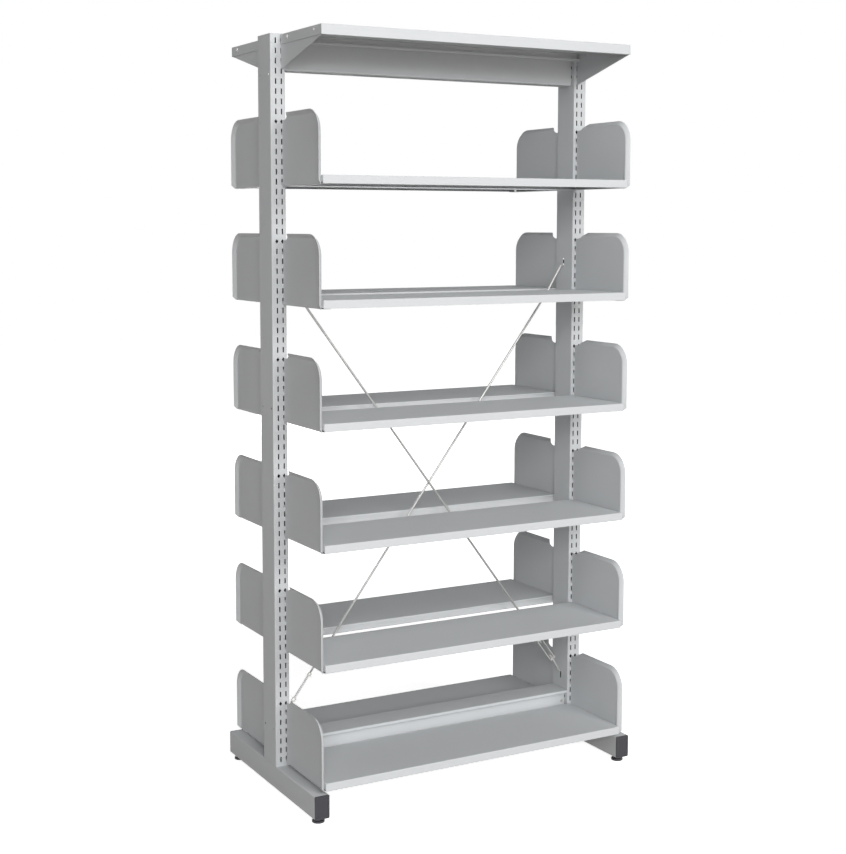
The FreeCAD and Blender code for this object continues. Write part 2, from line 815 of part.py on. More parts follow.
def make_brace_rod():
    # rear brace: long rod from the turnbuckle up to the right upright
    upper_block = buckle_start + buckle_length - buckle_block
    start = along_brace(upper_block - rod_overlap)
    kink = along_brace(brace_span() - upper_kink / brace_direction().x)
    neck = high_brace_z - brace_slot_height / 2 + rod_radius + brace_seat
    tail_x = hook_tail_x()
    points = [start, kink, (upright_inner - upper_corner, neck), (tail_x, neck), (tail_x, neck - hook_tail)]
    return rod_along(points, rod_radius, rod_bend, in_brace_plane)


def make_brace_hook():
    # rear brace: short hook from the left upright up into the turnbuckle
    start = along_brace(buckle_start + rod_overlap)
    kink = along_brace(lower_kink / brace_direction().x)
    neck = low_brace_z + brace_slot_height / 2 - rod_radius - brace_seat
    tail_x = -hook_tail_x()
    points = [start, kink, (lower_corner - upright_inner, neck), (tail_x, neck), (tail_x, neck + hook_tail)]
    return rod_along(points, rod_radius, rod_bend, in_brace_plane)


def make_turnbuckle(roll):
    # frame of two bars between two blocks, built upright, then laid along the rear brace
    half_length = buckle_length / 2
    half_width = buckle_spread / 2 + buckle_bar_radius
    t = rod_radius + buckle_bore_clearance + buckle_wall
    bars = []
    for x in (-buckle_spread / 2, buckle_spread / 2):
        start = Vector(x, 0, buckle_block / 2 - half_length)
        bars.append(rod(buckle_bar_radius, buckle_length - buckle_block, start, up))
    blocks = []
    for z in (-half_length, half_length - buckle_block):
        body = block(-half_width, half_width, -t, t, z, z + buckle_block)
        blocks.append(body.makeFillet(buckle_corner, [e for e in body.Edges if e.BoundBox.ZLength > 1]))
    bore = rod(rod_radius + buckle_bore_clearance, buckle_length + 2, Vector(0, 0, -half_length - 1), up)
    frame = fused(blocks + bars).cut(bore)
    frame = frame.rotated(centre, up, roll)
    middle = brace_low_point() + brace_direction() * (buckle_start + (buckle_length - buckle_block) / 2)
    frame.Placement = FreeCAD.Placement(middle, FreeCAD.Rotation(up, brace_direction())) * frame.Placement
    return frame


def corner_names():
    return (("front_left", -1, -1), ("front_right", 1, -1), ("rear_left", -1, 1), ("rear_right", 1, 1))


def at_corner(shape, x_sign, y_sign):
    # a piece made for the front right corner, moved to the corner named by its signs
    if y_sign > 0:
        shape = turned(shape)
        x_sign = -x_sign
    return mirrored(shape) if x_sign < 0 else shape


def save(name, shapes):
    for shape in shapes:
        if not shape.isValid() or len(shape.Solids) != 1:
            print("check", name, shape.isValid(), len(shape.Solids))
    solids = [shape.Solids[0] for shape in shapes]
    whole = solids[0] if len(solids) == 1 else Part.makeCompound(solids)
    whole.exportStep(os.path.join("parts", name + ".step"))
    print(name, len(solids), "solid" if len(solids) == 1 else "solids")


def save_frame():
    upright = make_upright()
    save("right_upright", [upright])
    save("left_upright", [turned(upright)])
    tube = make_base_tube()
    save("right_base_tube", [tube])
    save("left_base_tube", [turned(tube)])
    cap = make_end_cap()
    nuts = []
    for name, x_sign, y_sign in corner_names():
        x = x_sign * foot_x
        y = y_sign * foot_y
        save(name + "_end_cap", [at_corner(cap, x_sign, y_sign)])
        save(name + "_foot_pad", [make_foot_pad(x, y)])
        save(name + "_foot_stud", [make_stud(x, y)])
        nuts.append(make_nut(x, y))
    save("foot_weld_nuts", nuts)
    save("top_beam", [make_beam(canopy_top, beam_rows(True))])
    save("bottom_beam", [make_bottom_beam()])
    save("beam_lock_screws", lock_screws())


def save_canopy():
    canopy = make_canopy()
    save("front_canopy", [canopy])
    save("rear_canopy", [turned(canopy)])
    gusset = make_gusset()
    for name, x_sign, y_sign in corner_names():
        save(name + "_canopy_gusset", [at_corner(gusset, x_sign, y_sign)])
    save("canopy_screws", canopy_screws())


def save_shelves():
    tray = make_tray()
    bracket = make_bracket()
    pair = [bracket, mirrored(bracket)]
    for level in range(1, level_count + 1):
        lift = Vector(0, 0, level_z(level))
        save("front_shelf_%d" % level, [tray.translated(lift)])
        save("rear_shelf_%d" % level, [turned(tray).translated(lift)])
        save("front_brackets_%d" % level, [piece.translated(lift) for piece in pair])
        save("rear_brackets_%d" % level, [turned(piece).translated(lift) for piece in pair])


def save_brace():
    # the front brace is the rear one turned about the middle
    rod_piece = make_brace_rod()
    hook_piece = make_brace_hook()
    save("rear_brace_rod", [rod_piece])
    save("front_brace_rod", [turned(rod_piece)])
    save("rear_brace_hook", [hook_piece])
    save("front_brace_hook", [turned(hook_piece)])
    save("rear_turnbuckle", [make_turnbuckle(rear_buckle_roll)])
    save("front_turnbuckle", [turned(make_turnbuckle(front_buckle_roll))])


os.makedirs("parts", exist_ok=True)
save_frame()
save_canopy()
save_shelves()
save_brace()
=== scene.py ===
import json
import math

import bmesh
import bpy
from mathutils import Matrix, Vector


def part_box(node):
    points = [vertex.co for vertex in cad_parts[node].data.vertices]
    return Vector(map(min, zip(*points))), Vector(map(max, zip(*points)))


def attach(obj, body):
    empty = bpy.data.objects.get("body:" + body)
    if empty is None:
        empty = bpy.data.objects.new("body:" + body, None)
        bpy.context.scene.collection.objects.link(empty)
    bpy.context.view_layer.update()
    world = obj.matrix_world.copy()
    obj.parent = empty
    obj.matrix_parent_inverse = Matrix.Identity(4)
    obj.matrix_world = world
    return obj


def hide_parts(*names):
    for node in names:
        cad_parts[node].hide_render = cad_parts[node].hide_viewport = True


# A double sided library shelving: two slotted uprights on base tubes, two cross beams, an X brace, two
# canopies, and twelve trays on pairs of brackets. Each visible CAD node gets a finished copy in its place.
# Sizes are in metres and angles in degrees.

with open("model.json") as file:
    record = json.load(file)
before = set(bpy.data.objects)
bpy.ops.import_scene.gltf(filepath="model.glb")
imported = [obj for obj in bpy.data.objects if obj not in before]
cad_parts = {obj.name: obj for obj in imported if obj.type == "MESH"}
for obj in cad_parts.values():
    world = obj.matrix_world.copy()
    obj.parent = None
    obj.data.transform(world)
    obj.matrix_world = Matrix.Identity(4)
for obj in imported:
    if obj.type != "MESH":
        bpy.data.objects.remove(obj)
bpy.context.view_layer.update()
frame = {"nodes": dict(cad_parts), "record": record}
scene = bpy.context.scene
nodes = frame["nodes"]


def addNode(tree, kind, place, **values):
    node = tree.nodes.new(kind)
    node.location = place
    for name, value in values.items():
        setattr(node, name, value)
    return node


def emptyTree(owner):
    owner.use_nodes = True
    owner.node_tree.nodes.clear()
    return owner.node_tree


def newMaterial(name):
    material = bpy.data.materials.new(name)
    tree = emptyTree(material)
    output = addNode(tree, "ShaderNodeOutputMaterial", (600, 0))
    shader = addNode(tree, "ShaderNodeBsdfPrincipled", (300, 0))
    tree.links.new(shader.outputs["BSDF"], output.inputs["Surface"])
    coordinates = addNode(tree, "ShaderNodeTexCoord", (-900, 0))
    return material, tree, shader, coordinates


def addNoise(tree, vector, place, scale, detail=2.0):
    noise = addNode(tree, "ShaderNodeTexNoise", place)
    noise.inputs["Scale"].default_value = scale
    noise.inputs["Detail"].default_value = detail
    tree.links.new(vector, noise.inputs["Vector"])
    return noise


# most values of a noise lie between these two
noiseSettings = {"low": 0.3, "high": 0.7}


def addRange(tree, value, place, low, high):
    remap = addNode(tree, "ShaderNodeMapRange", place)
    remap.inputs["From Min"].default_value = noiseSettings["low"]
    remap.inputs["From Max"].default_value = noiseSettings["high"]
    remap.inputs["To Min"].default_value = low
    remap.inputs["To Max"].default_value = high
    tree.links.new(value, remap.inputs["Value"])
    return remap


def addTwoColours(tree, value, place, colour, spread):
    mix = addNode(tree, "ShaderNodeMix", place, data_type="RGBA")
    mix.inputs["A"].default_value = tuple(max(0.0, c - spread) for c in colour) + (1.0,)
    mix.inputs["B"].default_value = tuple(min(1.0, c + spread) for c in colour) + (1.0,)
    tree.links.new(value, mix.inputs["Factor"])
    return mix


def addBump(tree, height, shader, place, strength, depth):
    bump = addNode(tree, "ShaderNodeBump", place)
    bump.inputs["Strength"].default_value = strength
    bump.inputs["Distance"].default_value = depth
    tree.links.new(height, bump.inputs["Height"])
    tree.links.new(bump.outputs["Normal"], shader.inputs["Normal"])


# every Scale is a noise scale: a larger one gives finer grain
paintSettings = {
    "colour": (0.583, 0.600, 0.612),
    "colourSpread": 0.012,
    "roughnessRange": (0.58, 0.66),
    "specular": 0.10,
    "cloudScale": 9.0,
    "peelScale": 420.0,
    "peelStrength": 0.25,
    "peelDepth": 0.00002,
}


def makePaint():
    # light grey powder coat: faint wide clouds and fine orange peel
    s = paintSettings
    material, tree, shader, coordinates = newMaterial("greyPowderCoat")
    vector = coordinates.outputs["Object"]
    cloud = addNoise(tree, vector, (-650, 250), s["cloudScale"], detail=3.0)
    colour = addTwoColours(tree, cloud.outputs["Fac"], (-350, 250), s["colour"], s["colourSpread"])
    tree.links.new(colour.outputs["Result"], shader.inputs["Base Color"])
    gloss = addRange(tree, cloud.outputs["Fac"], (-350, 0), *s["roughnessRange"])
    tree.links.new(gloss.outputs["Result"], shader.inputs["Roughness"])
    shader.inputs["Specular IOR Level"].default_value = s["specular"]
    peel = addNoise(tree, vector, (-650, -250), s["peelScale"])
    addBump(tree, peel.outputs["Fac"], shader, (-350, -250), s["peelStrength"], s["peelDepth"])
    return material


zincSettings = {
    "colour": (0.56, 0.555, 0.54),
    "colourSpread": 0.04,
    "metallic": 0.6,
    "roughnessRange": (0.44, 0.58),
    "grainScale": 900.0,
}


def makeZinc():
    # bright zinc on rods, hooks, turnbuckles, studs, nuts and screws
    s = zincSettings
    material, tree, shader, coordinates = newMaterial("brightZinc")
    vector = coordinates.outputs["Object"]
    grain = addNoise(tree, vector, (-650, 200), s["grainScale"], detail=3.0)
    colour = addTwoColours(tree, grain.outputs["Fac"], (-350, 200), s["colour"], s["colourSpread"])
    tree.links.new(colour.outputs["Result"], shader.inputs["Base Color"])
    gloss = addRange(tree, grain.outputs["Fac"], (-350, -50), *s["roughnessRange"])
    tree.links.new(gloss.outputs["Result"], shader.inputs["Roughness"])
    shader.inputs["Metallic"].default_value = s["metallic"]
    return material


plasticSettings = {
    "colour": (0.022, 0.022, 0.028),
    "colourSpread": 0.008,
    "roughnessRange": (0.40, 0.56),
    "grainScale": 1400.0,
    "grainStrength": 0.3,
    "grainDepth": 0.00004,
}


def makePlastic():
    # finely grained black plastic on end caps and foot pads
    s = plasticSettings
    material, tree, shader, coordinates = newMaterial("blackPlastic")
    vector = coordinates.outputs["Object"]
    grain = addNoise(tree, vector, (-650, 200), s["grainScale"])
    colour = addTwoColours(tree, grain.outputs["Fac"], (-350, 200), s["colour"], s["colourSpread"])
    tree.links.new(colour.outputs["Result"], shader.inputs["Base Color"])
    gloss = addRange(tree, grain.outputs["Fac"], (-350, -50), *s["roughnessRange"])
    tree.links.new(gloss.outputs["Result"], shader.inputs["Roughness"])
    addBump(tree, grain.outputs["Fac"], shader, (-350, -300), s["grainStrength"], s["grainDepth"])
    return material


# painted shade: a near-black colour on the inside of the uprights stands in for the shade seen through
# their slots; depth is from the outside to where it starts
insideShadeSettings = {
    "colour": (0.060, 0.060, 0.063),
    "colourSpread": 0.02,
    "roughness": 0.6,
    "cloudScale": 60.0,
    "depth": 0.0012,
}


def makeInsideShade():
    # painted shade for the inside of the uprights: near-black in place of the shade in there
    s = insideShadeSettings
    material, tree, shader, coordinates = newMaterial("paintedInsideShade")
    cloud = addNoise(tree, coordinates.outputs["Object"], (-650, 200), s["cloudScale"], detail=3.0)
    colour = addTwoColours(tree, cloud.outputs["Fac"], (-350, 200), s["colour"], s["colourSpread"])
    tree.links.new(colour.outputs["Result"], shader.inputs["Base Color"])
    shader.inputs["Roughness"].default_value = s["roughness"]
    return material


def setMaterial(thing, material):
    thing.data.materials.clear()
    thing.data.materials.append(material)


def materialFor(name, materials):
    if "end_cap" in name or "foot_pad" in name:
        return materials["black_plastic"]
    if any(word in name for word in ("brace", "buckle", "stud", "nuts", "screws")):
        return materials["zinc_steel"]
    return materials["painted_steel"]


# bounceColour is the floor in the light it throws back on the shelving, floorColour the floor as it is
# seen; the floor's glow rises from floorGlow to farGlow between glowStart and glowEnd from the middle
lightSettings = {
    "worldLight": 0.05,
    "floorGlow": 0.80,
    "farGlow": 1.0,
    "glowStart": 0.9,
    "glowEnd": 3.0,
    "floorColour": (0.86, 0.86, 0.86),
    "bounceColour": (0.51, 0.475, 0.45),
    "floorSize": 30.0,
}


def seenByCamera(tree, place):
    # 1 for rays that show the surroundings: from the camera, from gloss and through glass
    x, y = place
    path = addNode(tree, "ShaderNodeLightPath", (x, y))
    first = addNode(tree, "ShaderNodeMath", (x + 200, y), operation="MAXIMUM")
    both = addNode(tree, "ShaderNodeMath", (x + 400, y), operation="MAXIMUM")
    tree.links.new(path.outputs["Is Camera Ray"], first.inputs[0])
    tree.links.new(path.outputs["Is Glossy Ray"], first.inputs[1])
    tree.links.new(first.outputs["Value"], both.inputs[0])
    tree.links.new(path.outputs["Is Transmission Ray"], both.inputs[1])
    return both.outputs["Value"]


def makeWorld():
    world = bpy.data.worlds.new("studio")
    tree = emptyTree(world)
    output = addNode(tree, "ShaderNodeOutputWorld", (600, 0))
    mix = addNode(tree, "ShaderNodeMixShader", (400, 0))
    soft = addNode(tree, "ShaderNodeBackground", (150, 100))
    soft.inputs["Color"].default_value = (1.0, 1.0, 1.0, 1.0)
    soft.inputs["Strength"].default_value = lightSettings["worldLight"]
    white = addNode(tree, "ShaderNodeBackground", (150, -100))
    white.inputs["Color"].default_value = (1.0, 1.0, 1.0, 1.0)
    white.inputs["Strength"].default_value = 1.0
    tree.links.new(seenByCamera(tree, (-500, 200)), mix.inputs["Fac"])
    tree.links.new(soft.outputs["Background"], mix.inputs[1])
    tree.links.new(white.outputs["Background"], mix.inputs[2])
    tree.links.new(mix.outputs["Shader"], output.inputs["Surface"])
    scene.world = world


def makeFloorPaper():
    # matt paper that glows white to the camera and stays plain paper to the shelving's own light
    material = bpy.data.materials.new("floorPaper")
    tree = emptyTree(material)
    output = addNode(tree, "ShaderNodeOutputMaterial", (600, 0))
    seen = seenByCamera(tree, (-900, -100))
    shade = addNode(tree, "ShaderNodeMix", (-200, 150), data_type="RGBA")
    shade.inputs["A"].default_value = lightSettings["bounceColour"] + (1.0,)
    shade.inputs["B"].default_value = lightSettings["floorColour"] + (1.0,)
    tree.links.new(seen, shade.inputs["Factor"])
    matt = addNode(tree, "ShaderNodeBsdfDiffuse", (0, 100))
    tree.links.new(shade.outputs["Result"], matt.inputs["Color"])
    coordinates = addNode(tree, "ShaderNodeTexCoord", (-1100, -400))
    distance = addNode(tree, "ShaderNodeVectorMath", (-900, -400), operation="LENGTH")
    tree.links.new(coordinates.outputs["Object"], distance.inputs[0])
    ramp = addNode(tree, "ShaderNodeMapRange", (-700, -400), interpolation_type="SMOOTHSTEP")
    ramp.inputs["From Min"].default_value = lightSettings["glowStart"]
    ramp.inputs["From Max"].default_value = lightSettings["glowEnd"]
    ramp.inputs["To Min"].default_value = lightSettings["floorGlow"]
    ramp.inputs["To Max"].default_value = lightSettings["farGlow"]
    tree.links.new(distance.outputs["Value"], ramp.inputs["Value"])
    glow = addNode(tree, "ShaderNodeEmission", (0, -100))
    strength = addNode(tree, "ShaderNodeMath", (-200, -100), operation="MULTIPLY")
    tree.links.new(ramp.outputs["Result"], strength.inputs[1])
    tree.links.new(seen, strength.inputs[0])
    tree.links.new(strength.outputs["Value"], glow.inputs["Strength"])
    both = addNode(tree, "ShaderNodeAddShader", (300, 0))
    tree.links.new(matt.outputs["BSDF"], both.inputs[0])
    tree.links.new(glow.outputs["Emission"], both.inputs[1])
    tree.links.new(both.outputs["Shader"], output.inputs["Surface"])
    return material


def makeFloor():
    half = lightSettings["floorSize"] / 2
    corners = [(-half, -half, 0), (half, -half, 0), (half, half, 0), (-half, half, 0)]
    mesh = bpy.data.meshes.new("floor")
    mesh.from_pydata(corners, [], [(0, 1, 2, 3)])
    floor = bpy.data.objects.new("floor", mesh)
    scene.collection.objects.link(floor)
    setMaterial(floor, makeFloorPaper())


# each lamp: place, aim, width, height, power in watts
lampSettings = {
    "frontKey": ((2.3, -14.0, 6.0), (0.0, 0.0, 1.0), 6.0, 4.5, 810.0),
    "leftKey": ((-6.2, -12.4, 4.9), (0.0, 0.0, 1.0), 6.0, 4.5, 960.0),
    "frontTop": ((0.0, -8.5, 9.0), (0.0, 0.0, 0.6), 6.0, 4.5, 400.0),
    "frontLow": ((0.5, -9.0, 1.0), (0.0, 0.0, 0.6), 4.0, 1.6, 60.0),
    "leftFill": ((-8.0, -1.5, 2.5), (0.0, 0.0, 1.0), 4.0, 3.0, 48.0),
    "rearFill": ((0.6, 7.5, 0.5), (0.0, 0.0, 0.8), 4.0, 0.8, 240.0),
    "rightFill": ((8.0, 1.5, 1.0), (0.0, 0.0, 0.8), 4.0, 1.6, 130.0),
}


def makeLamps():
    for name, (place, aim, width, height, power) in lampSettings.items():
        lamp = bpy.data.lights.new(name, "AREA")
        lamp.shape = "RECTANGLE"
        lamp.size = width
        lamp.size_y = height
        lamp.energy = power
        thing = bpy.data.objects.new(name, lamp)
        scene.collection.objects.link(thing)
        thing.location = place
        thing.rotation_euler = (Vector(aim) - Vector(place)).to_track_quat("-Z", "Y").to_euler()


# the camera looks along +Y when yaw is 0, and turns towards +X
cameraSettings = {
    "place": (-2.0033, -3.5296, 1.4817),
    "yaw": 28.459,
    "pitch": -5.622,
    "lens": 63.164,
    "shift": (0.02693, -0.06323),
    "sensor": 36.0,
    "farEnd": 60.0,
}


def makeCamera():
    s = cameraSettings
    lens = bpy.data.cameras.new("camera")
    lens.sensor_fit = "AUTO"
    lens.sensor_width = s["sensor"]
    lens.lens = s["lens"]
    lens.shift_x, lens.shift_y = s["shift"]
    lens.clip_end = s["farEnd"]
    camera = bpy.data.objects.new("camera", lens)
    scene.collection.objects.link(camera)
    camera.location = s["place"]
    camera.rotation_euler = (math.radians(90.0 + s["pitch"]), 0.0, math.radians(-s["yaw"]))
    scene.camera = camera


# mergeDistance joins loose triangles, flatAngle makes a flat area one face again
cleanSettings = {"mergeDistance": 0.00001, "flatAngle": 0.5}


def mergedCopy(name):
    built = bmesh.new()
    built.from_mesh(nodes[name].data)
    bmesh.ops.remove_doubles(built, verts=built.verts, dist=cleanSettings["mergeDistance"])
    return built


def cleanCopy(name):
    built = mergedCopy(name)
    flat = math.radians(cleanSettings["flatAngle"])
    bmesh.ops.dissolve_limit(built, angle_limit=flat, verts=built.verts, edges=built.edges)
    bmesh.ops.recalc_face_normals(built, faces=built.faces)
    return built


def meshOf(built, name):
    mesh = bpy.data.meshes.new(name)
    built.to_mesh(mesh)
    built.free()
    return mesh


def applied(mesh, addModifiers):
    # the mesh after the modifiers that addModifiers puts on an object, as plain mesh data
    holder = bpy.data.objects.new("holder", mesh)
    scene.collection.objects.link(holder)
    addModifiers(holder)
    depsgraph = bpy.context.evaluated_depsgraph_get()
    result = bpy.data.meshes.new_from_object(
        holder.evaluated_get(depsgraph), preserve_all_data_layers=True, depsgraph=depsgraph
    )
    bpy.data.objects.remove(holder)
    return result


def smooth(mesh, sharpAngle):
    for face in mesh.polygons:
        face.use_smooth = True
    mesh.set_sharp_from_angle(angle=math.radians(sharpAngle))


# edge is the width of the rounding on pressed, cut and moulded edges
sheetSettings = {"edge": 0.00025, "segments": 2, "sharpAngle": 50.0}
buckleSettings = {"edge": 0.0006, "segments": 3, "sharpAngle": 50.0}
padSettings = {"edge": 0.0003, "segments": 2, "sharpAngle": 50.0}


def roundEdges(mesh, s):
    smooth(mesh, s["sharpAngle"])

    def addBevel(holder):
        bevel = holder.modifiers.new("edge", "BEVEL")
        bevel.width = s["edge"]
        bevel.segments = s["segments"]
        bevel.limit_method = "ANGLE"
        bevel.angle_limit = math.radians(s["sharpAngle"])
        bevel.use_clamp_overlap = False
        bevel.harden_normals = True

    return applied(mesh, addBevel)


def addPiece(name, mesh, body, slotName, replaced=()):
    thing = bpy.data.objects.new(name, mesh)
    mesh.name = name
    scene.collection.objects.link(thing)
    setMaterial(thing, materials[slotName])
    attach(thing, body)
    if replaced:
        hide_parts(*replaced)
    return thing


def finishNode(name, body, slotName, s):
    mesh = roundEdges(meshOf(cleanCopy(name), name), s)
    return addPiece(name + "_finished", mesh, body, slotName, [name])


def newTree(name, sockets):
    # a Geometry Nodes tree with a mesh coming in, the named inputs, and a mesh going out
    tree = bpy.data.node_groups.new(name, "GeometryNodeTree")
    tree.interface.new_socket("Mesh", in_out="INPUT", socket_type="NodeSocketGeometry")
    for label, kind in sockets:
        tree.interface.new_socket(label, in_out="INPUT", socket_type="NodeSocket" + kind)
    tree.interface.new_socket("Mesh", in_out="OUTPUT", socket_type="NodeSocketGeometry")
    start = addNode(tree, "NodeGroupInput", (-1000, 0))
    return tree, start


def endTree(tree, start, instances):
    # the tree's last nodes: real geometry with its material
    realize = addNode(tree, "GeometryNodeRealizeInstances", (600, 0))
    paint = addNode(tree, "GeometryNodeSetMaterial", (800, 0))
    end = addNode(tree, "NodeGroupOutput", (1000, 0))
    tree.links.new(instances, realize.inputs["Geometry"])
    tree.links.new(realize.outputs["Geometry"], paint.inputs["Geometry"])
    tree.links.new(start.outputs["Material"], paint.inputs["Material"])
    tree.links.new(paint.outputs["Geometry"], end.inputs["Mesh"])


def runTree(tree, mesh, values):
    identifiers = {}
    for item in tree.interface.items_tree:
        if item.item_type == "SOCKET" and item.in_out == "INPUT":
            identifiers[item.name] = item.identifier

    def addTree(holder):
        modifier = holder.modifiers.new("build", "NODES")
        modifier.node_group = tree
        for label, value in values.items():
            modifier[identifiers[label]] = value

    return applied(mesh, addTree)


def lineMesh(start, end):
    mesh = bpy.data.meshes.new("line")
    mesh.from_pydata([start, end], [(0, 1)], [])
    return mesh


# ringSteps are the corners round a thread, ridgeSides those of a ridge's section; ridgeShare is the ridge
# section's radius to the thread's depth, and the two tolerances are for finding the shaft's points
threadSettings = {
    "ringSteps": 14,
    "ridgeSides": 3,
    "ridgeShare": 0.62,
    "sharpAngle": 35.0,
    "cutTolerance": 0.0000001,
    "alongTolerance": 0.00001,
}

# the threads of the rods and hooks in the turnbuckles, measured along each brace from the wall
braceSettings = {
    "crestRadius": 0.0030,
    "rootRadius": 0.00252,
    "pitch": 0.00125,
    "jointReach": 0.0899,
    "hookThread": (0.0490, 0.0649),
    "rodThread": (0.1149, 0.1650),
    "runOut": 0.0006,
}

studSettings = {
    "crestRadius": 0.00396,
    "rootRadius": 0.00335,
    "pitch": 0.0015,
    "thread": (0.0140, 0.0472),
    "runOut": 0.0006,
}


def makeThreadTree():
    # ridges along a line, one each pitch
    sockets = [
        ("Crest Radius", "Float"),
        ("Depth", "Float"),
        ("Pitch", "Float"),
        ("Material", "Material"),
    ]
    tree, start = newTree("threadRidges", sockets)
    curve = addNode(tree, "GeometryNodeMeshToCurve", (-800, 200))
    spaced = addNode(tree, "GeometryNodeResampleCurve", (-600, 200), mode="LENGTH")
    tangent = addNode(tree, "GeometryNodeInputTangent", (-800, 0))
    turn = addNode(tree, "FunctionNodeAlignRotationToVector", (-400, 0), axis="Z")
    middle = addNode(tree, "ShaderNodeMath", (-800, -200), operation="SUBTRACT")
    ring = addNode(tree, "GeometryNodeCurvePrimitiveCircle", (-600, -200))
    ring.inputs["Resolution"].default_value = threadSettings["ringSteps"]
    ridge = addNode(tree, "GeometryNodeCurvePrimitiveCircle", (-600, -400))
    ridge.inputs["Resolution"].default_value = threadSettings["ridgeSides"]
    solid = addNode(tree, "GeometryNodeCurveToMesh", (-200, -200))
    placed = addNode(tree, "GeometryNodeInstanceOnPoints", (200, 0))
    tree.links.new(start.outputs["Mesh"], curve.inputs["Mesh"])
    tree.links.new(curve.outputs["Curve"], spaced.inputs["Curve"])
    tree.links.new(start.outputs["Pitch"], spaced.inputs["Length"])
    tree.links.new(tangent.outputs["Tangent"], turn.inputs["Vector"])
    tree.links.new(start.outputs["Crest Radius"], middle.inputs[0])
    tree.links.new(start.outputs["Depth"], middle.inputs[1])
    tree.links.new(middle.outputs["Value"], ring.inputs["Radius"])
    tree.links.new(start.outputs["Depth"], ridge.inputs["Radius"])
    tree.links.new(ring.outputs["Curve"], solid.inputs["Curve"])
    tree.links.new(ridge.outputs["Curve"], solid.inputs["Profile Curve"])
    tree.links.new(spaced.outputs["Curve"], placed.inputs["Points"])
    tree.links.new(solid.outputs["Mesh"], placed.inputs["Instance"])
    tree.links.new(turn.outputs["Rotation"], placed.inputs["Rotation"])
    endTree(tree, start, placed.outputs["Instances"])
    return tree


# a row of weld beads at each foot of an upright; inset is from the upright's side to the row's end
weldSettings = {
    "radius": 0.0030,
    "spacing": 0.0028,
    "flatness": 0.75,
    "sizeSpread": 0.16,
    "inset": 0.003,
    "segments": 10,
    "rings": 6,
    "seed": 7,
}


def makeWeldTree():
    # overlapping flattened beads along a line, each of a slightly different size
    sockets = [
        ("Radius", "Float"),
        ("Spacing", "Float"),
        ("Flatness", "Float"),
        ("Size Spread", "Float"),
        ("Seed", "Int"),
        ("Material", "Material"),
    ]
    tree, start = newTree("weldBeads", sockets)
    curve = addNode(tree, "GeometryNodeMeshToCurve", (-800, 200))
    spaced = addNode(tree, "GeometryNodeResampleCurve", (-600, 200), mode="LENGTH")
    bead = addNode(tree, "GeometryNodeMeshUVSphere", (-600, -200))
    bead.inputs["Segments"].default_value = weldSettings["segments"]
    bead.inputs["Rings"].default_value = weldSettings["rings"]
    smallest = addNode(tree, "ShaderNodeMath", (-800, -400), operation="SUBTRACT")
    smallest.inputs[0].default_value = 1.0
    chance = addNode(tree, "FunctionNodeRandomValue", (-400, -400), data_type="FLOAT")
    squash = addNode(tree, "ShaderNodeMath", (-200, -500), operation="MULTIPLY")
    size = addNode(tree, "ShaderNodeCombineXYZ", (0, -400))
    placed = addNode(tree, "GeometryNodeInstanceOnPoints", (200, 0))
    tree.links.new(start.outputs["Mesh"], curve.inputs["Mesh"])
    tree.links.new(curve.outputs["Curve"], spaced.inputs["Curve"])
    tree.links.new(start.outputs["Spacing"], spaced.inputs["Length"])
    tree.links.new(start.outputs["Radius"], bead.inputs["Radius"])
    tree.links.new(start.outputs["Size Spread"], smallest.inputs[1])
    chanceInputs = {socket.name: socket for socket in chance.inputs if socket.enabled}
    chanceInputs["Max"].default_value = 1.0
    tree.links.new(smallest.outputs["Value"], chanceInputs["Min"])
    tree.links.new(start.outputs["Seed"], chanceInputs["Seed"])
    chanceValue = next(socket for socket in chance.outputs if socket.enabled)
    tree.links.new(chanceValue, squash.inputs[0])
    tree.links.new(start.outputs["Flatness"], squash.inputs[1])
    tree.links.new(chanceValue, size.inputs["X"])
    tree.links.new(squash.outputs["Value"], size.inputs["Y"])
    tree.links.new(chanceValue, size.inputs["Z"])
    tree.links.new(spaced.outputs["Curve"], placed.inputs["Points"])
    tree.links.new(bead.outputs["Mesh"], placed.inputs["Instance"])
    tree.links.new(size.outputs["Vector"], placed.inputs["Scale"])
    endTree(tree, start, placed.outputs["Instances"])
    return tree


def addWeld(tree, name, start, end):
    values = {
        "Radius": weldSettings["radius"],
        "Spacing": weldSettings["spacing"],
        "Flatness": weldSettings["flatness"],
        "Size Spread": weldSettings["sizeSpread"],
        "Seed": weldSettings["seed"],
        "Material": materials["painted_steel"],
    }
    beads = runTree(tree, lineMesh(start, end), values)
    for face in beads.polygons:
        face.use_smooth = True
    addPiece(name, beads, "frame", "painted_steel")


# tipWidth and tipBevel are shares of the shank's radius; recessTaper is the recess's foot to its mouth, and
# recessOver how far its cutter stands above the head as a share of its depth
screwSettings = {
    "headRadius": 0.0042,
    "headHeight": 0.0022,
    "headRound": 0.0013,
    "headSteps": 4,
    "shankRadius": 0.0022,
    "shankLength": 0.0065,
    "tipWidth": 0.8,
    "tipBevel": 0.2,
    "recessReach": 0.0024,
    "recessWidth": 0.0009,
    "recessDepth": 0.0014,
    "recessTaper": 0.6,
    "recessOver": 0.2,
    "steps": 32,
    "sharpAngle": 35.0,
}


